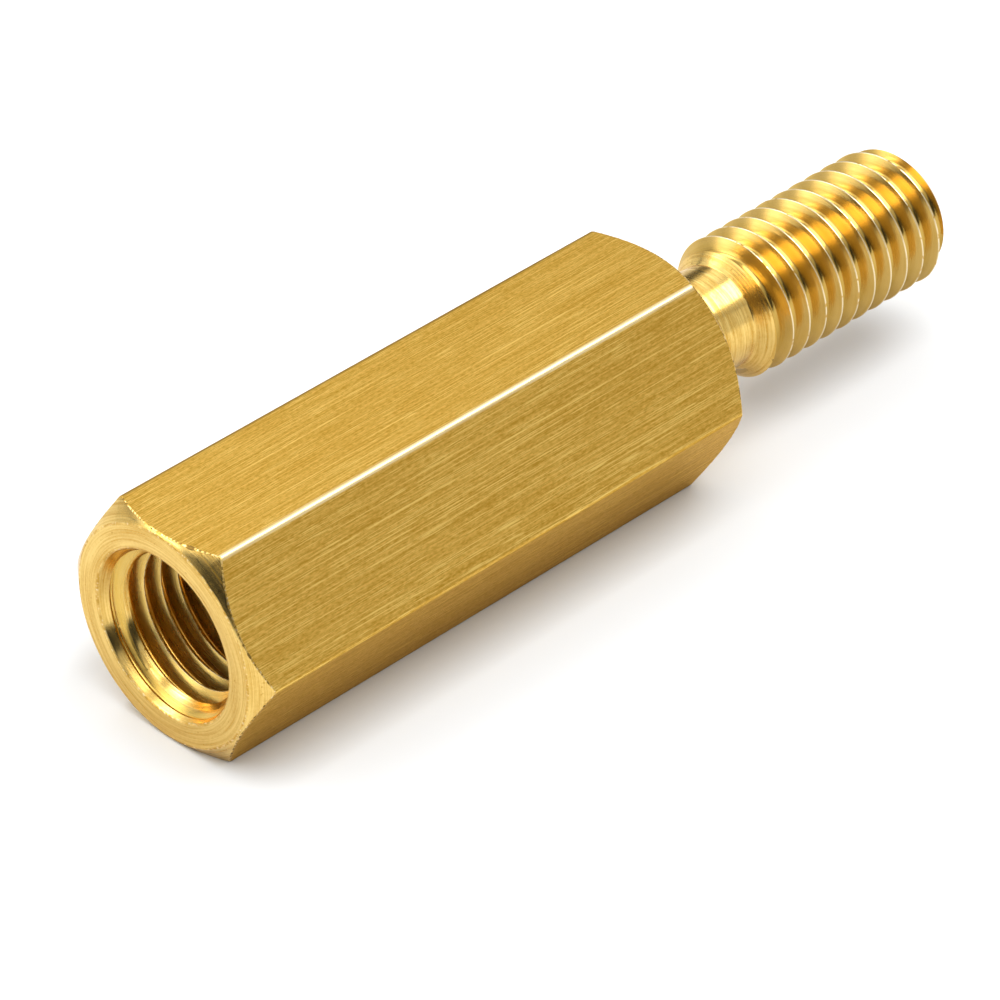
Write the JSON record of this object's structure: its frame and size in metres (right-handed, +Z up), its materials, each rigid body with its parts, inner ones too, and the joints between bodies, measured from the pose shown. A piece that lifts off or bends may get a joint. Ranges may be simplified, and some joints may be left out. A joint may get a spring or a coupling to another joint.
{
  "type": "hex standoff",
  "caption": "Male to female brass hex standoff with a blind threaded hole in one end and a threaded stud with a relief neck on the other.",
  "frame": {"origin": "on the axis at the shoulder, where the hex ends and the stud begins", "axes": "+X along the axis towards the stud's tip, +Z up, square to the flat that it lies on, so the hex has corners at +Y and -Y"},
  "size_m": [0.034, 0.0092, 0.008],
  "materials": {
    "brass": "drawn hex flats with fine lengthwise lines, turned ends and thread"
  },
  "bodies": {
    "root": {"standoff": "brass"}
  },
  "joints": []
}
